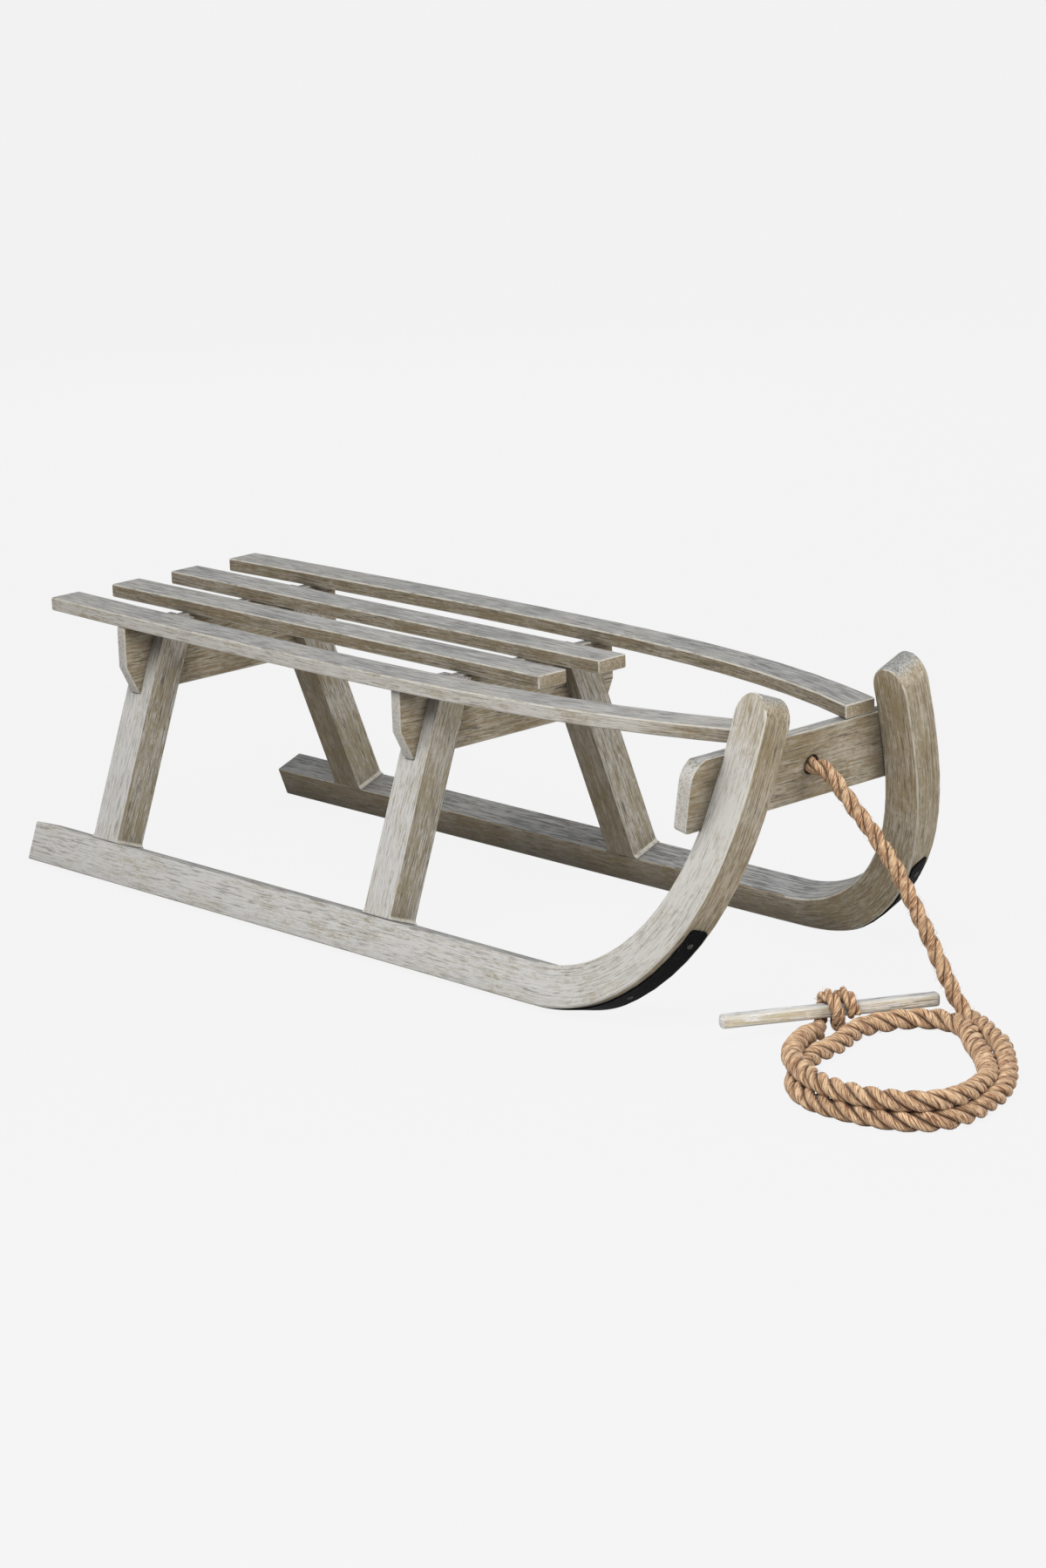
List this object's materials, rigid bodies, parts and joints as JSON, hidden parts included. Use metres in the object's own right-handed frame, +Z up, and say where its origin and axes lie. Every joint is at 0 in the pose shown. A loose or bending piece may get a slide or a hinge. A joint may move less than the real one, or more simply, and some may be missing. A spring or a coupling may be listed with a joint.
{
  "type": "sled",
  "caption": "Slatted wooden sled with bent, steel-shod runners rising to horns, a front crossboard, and a coiled pull rope ending in a toggle.",
  "frame": {"origin": "middle of the footprint of the sled without its rope, on the ground", "axes": "+X towards the horns, which is the way the sled is pulled; +Y to the sled's left; +Z up"},
  "size_m": [1.0401, 0.3504, 0.256],
  "materials": {
    "limed_wood": "limewashed, brushed and worn on its edges",
    "pale_wood": "bare",
    "black_steel": "black, dull, slightly worn",
    "manila": "three-strand laid natural rope, hairy"
  },
  "bodies": {
    "root": {"runner_right": "limed_wood", "shoe_right": "black_steel", "leg_rear_right": "limed_wood", "leg_front_right": "limed_wood", "slat_outer_right": "limed_wood", "slat_inner_right": "limed_wood", "runner_left": "limed_wood", "shoe_left": "black_steel", "leg_rear_left": "limed_wood", "leg_front_left": "limed_wood", "slat_outer_left": "limed_wood", "slat_inner_left": "limed_wood", "trestle_board_rear": "limed_wood", "trestle_board_front": "limed_wood", "front_board": "limed_wood", "dowel_rear_outer_right": "pale_wood", "dowel_rear_inner_right": "pale_wood", "dowel_front_outer_right": "pale_wood", "dowel_front_inner_right": "pale_wood", "dowel_nose_right": "pale_wood", "dowel_horn_right": "pale_wood", "dowel_rear_outer_left": "pale_wood", "dowel_rear_inner_left": "pale_wood", "dowel_front_outer_left": "pale_wood", "dowel_front_inner_left": "pale_wood", "dowel_nose_left": "pale_wood", "dowel_horn_left": "pale_wood", "rope_lead": "manila", "rope_coil": "manila", "rope_hitch": "manila", "rope_stopper_knot": "manila", "toggle": "limed_wood"}
  },
  "joints": []
}
